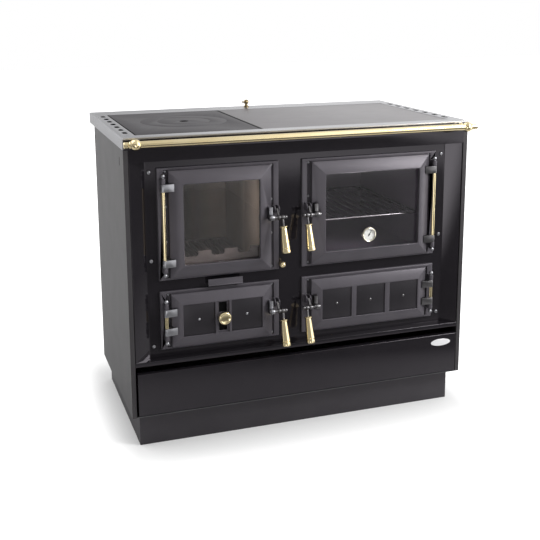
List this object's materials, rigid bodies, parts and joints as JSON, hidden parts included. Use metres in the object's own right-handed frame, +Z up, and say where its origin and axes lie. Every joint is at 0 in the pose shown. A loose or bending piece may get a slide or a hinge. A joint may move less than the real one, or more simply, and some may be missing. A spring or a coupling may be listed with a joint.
{
  "type": "cast iron range cooker",
  "caption": "Solid fuel range cooker with glazed fire and oven doors, ash and store doors, a ring hob, brass rail and handles, and a fuel drawer.",
  "frame": {"origin": "on the floor, at the middle of the whole cooker in plan, handles and flue collar included", "axes": "+X to the viewer's right along the front, +Y from the front to the back, +Z up"},
  "size_m": [0.995, 0.67, 0.874],
  "materials": {
    "black_enamel": "gloss",
    "grey_enamel": "satin",
    "inner_sheet": "satin",
    "door_iron": "satin, fine grained",
    "hob_iron": "matt, fine grained",
    "hob_steel": "ground",
    "stainless": "brushed",
    "hinge_steel": "satin",
    "brass": "polished",
    "fire_glass": "clear, warm tint",
    "oven_glass": "dark",
    "dial_white": "satin",
    "pointer_black": "satin",
    "firebrick": "matt fired clay",
    "shelf_chrome": "bright"
  },
  "bodies": {
    "cabinet": {"plinth": "black_enamel", "base_plate": "inner_sheet", "side_panel_left": "grey_enamel", "side_panel_right": "grey_enamel", "back_panel": "inner_sheet", "top_frame": "stainless", "top_fascia": "black_enamel", "lower_ledge": "black_enamel", "front_plate": "black_enamel", "front_screws": "hinge_steel", "hob_plate_left": "hob_iron", "hob_plate_right": "hob_steel", "rail_tube": "brass", "rail_brackets": "brass", "fire_door_frame": "door_iron", "oven_door_frame": "door_iron", "ash_door_frame": "door_iron", "store_door_frame": "door_iron", "hinge_pins": "hinge_steel", "hinge_sleeves": "brass", "flue_collar": "door_iron", "drawer_runners": "hinge_steel", "oven_box": "inner_sheet", "oven_shelf": "shelf_chrome", "firebox": "door_iron", "firebricks": "firebrick", "fire_grate": "hob_iron", "ash_pan": "inner_sheet", "store_box": "inner_sheet"},
    "fire_door": {"fire_door": "door_iron", "fire_door_glass": "fire_glass", "fire_door_fittings": "hinge_steel"},
    "oven_door": {"oven_door": "door_iron", "oven_door_glass": "oven_glass", "oven_door_fittings": "hinge_steel", "thermometer": "dial_white"},
    "ash_door": {"ash_door": "door_iron", "ash_door_panels": "black_enamel", "ash_door_fittings": "hinge_steel"},
    "store_door": {"store_door": "door_iron", "store_door_panels": "black_enamel", "store_door_fittings": "hinge_steel"},
    "fire_latch": {"fire_latch": "hinge_steel", "fire_grip": "brass"},
    "oven_latch": {"oven_latch": "hinge_steel", "oven_grip": "brass"},
    "ash_latch": {"ash_latch": "hinge_steel", "ash_grip": "brass"},
    "store_latch": {"store_latch": "hinge_steel", "store_grip": "brass"},
    "thermometer_pointer": {"thermometer_pointer": "pointer_black"},
    "air_valve": {"air_valve": "brass"},
    "air_slider": {"air_slider": "door_iron"},
    "pull_knob": {"pull_knob": "brass"},
    "flue_damper": {"damper_knob": "brass", "damper_flap": "hinge_steel"},
    "fuel_drawer": {"storage_drawer": "inner_sheet", "drawer_front": "black_enamel"},
    "hob_ring": {"hob_ring": "hob_iron"},
    "hob_lid": {"hob_lid": "hob_iron"}
  },
  "joints": [
    {"name": "fire_door_hinge", "type": "hinge", "parent": "cabinet", "child": "fire_door", "pos_m": [-0.392, -0.27291, 0.6135], "axis": [0, 0, -1], "range_deg": [0, 110]},
    {"name": "oven_door_hinge", "type": "hinge", "parent": "cabinet", "child": "oven_door", "pos_m": [0.392, -0.27291, 0.6135], "axis": [0, 0, 1], "range_deg": [0, 110]},
    {"name": "ash_door_hinge", "type": "hinge", "parent": "cabinet", "child": "ash_door", "pos_m": [-0.392, -0.27291, 0.351], "axis": [0, 0, -1], "range_deg": [0, 110]},
    {"name": "store_door_hinge", "type": "hinge", "parent": "cabinet", "child": "store_door", "pos_m": [0.392, -0.27291, 0.351], "axis": [0, 0, 1], "range_deg": [0, 110]},
    {"name": "fire_latch_lift", "type": "hinge", "parent": "fire_door", "child": "fire_latch", "pos_m": [-0.073, -0.29391, 0.6175], "axis": [-1, 0, 0], "range_deg": [0, 60]},
    {"name": "oven_latch_lift", "type": "hinge", "parent": "oven_door", "child": "oven_latch", "pos_m": [-0.002, -0.29391, 0.6175], "axis": [-1, 0, 0], "range_deg": [0, 60]},
    {"name": "ash_latch_lift", "type": "hinge", "parent": "ash_door", "child": "ash_latch", "pos_m": [-0.073, -0.29391, 0.355], "axis": [-1, 0, 0], "range_deg": [0, 60]},
    {"name": "store_latch_lift", "type": "hinge", "parent": "store_door", "child": "store_latch", "pos_m": [-0.002, -0.29391, 0.355], "axis": [-1, 0, 0], "range_deg": [0, 60]},
    {"name": "thermometer_turn", "type": "hinge", "parent": "oven_door", "child": "thermometer_pointer", "pos_m": [0.191, -0.27431, 0.5415], "axis": [0, 1, 0], "range_deg": [-170, 100]},
    {"name": "air_valve_turn", "type": "hinge", "parent": "ash_door", "child": "air_valve", "pos_m": [-0.2365, -0.25691, 0.351], "axis": [0, -1, 0], "range_deg": [0, 90]},
    {"name": "air_slider_pull", "type": "slide", "parent": "cabinet", "child": "air_slider", "axis": [0, -1, 0], "range_m": [0, 0.04]},
    {"name": "pull_knob_pull", "type": "slide", "parent": "cabinet", "child": "pull_knob", "axis": [0, -1, 0], "range_m": [0, 0.03]},
    {"name": "damper_turn", "type": "hinge", "parent": "cabinet", "child": "flue_damper", "pos_m": [0.005, 0.27209, 0.7], "axis": [0, 0, 1], "range_deg": [0, 90]},
    {"name": "drawer_pull", "type": "slide", "parent": "cabinet", "child": "fuel_drawer", "axis": [0, -1, 0], "range_m": [0, 0.4]},
    {"name": "ring_lift", "type": "slide", "parent": "cabinet", "child": "hob_ring", "axis": [0, 0, 1], "range_m": [0, 0.06]},
    {"name": "lid_lift", "type": "slide", "parent": "hob_ring", "child": "hob_lid", "axis": [0, 0, 1], "range_m": [0, 0.05]}
  ]
}
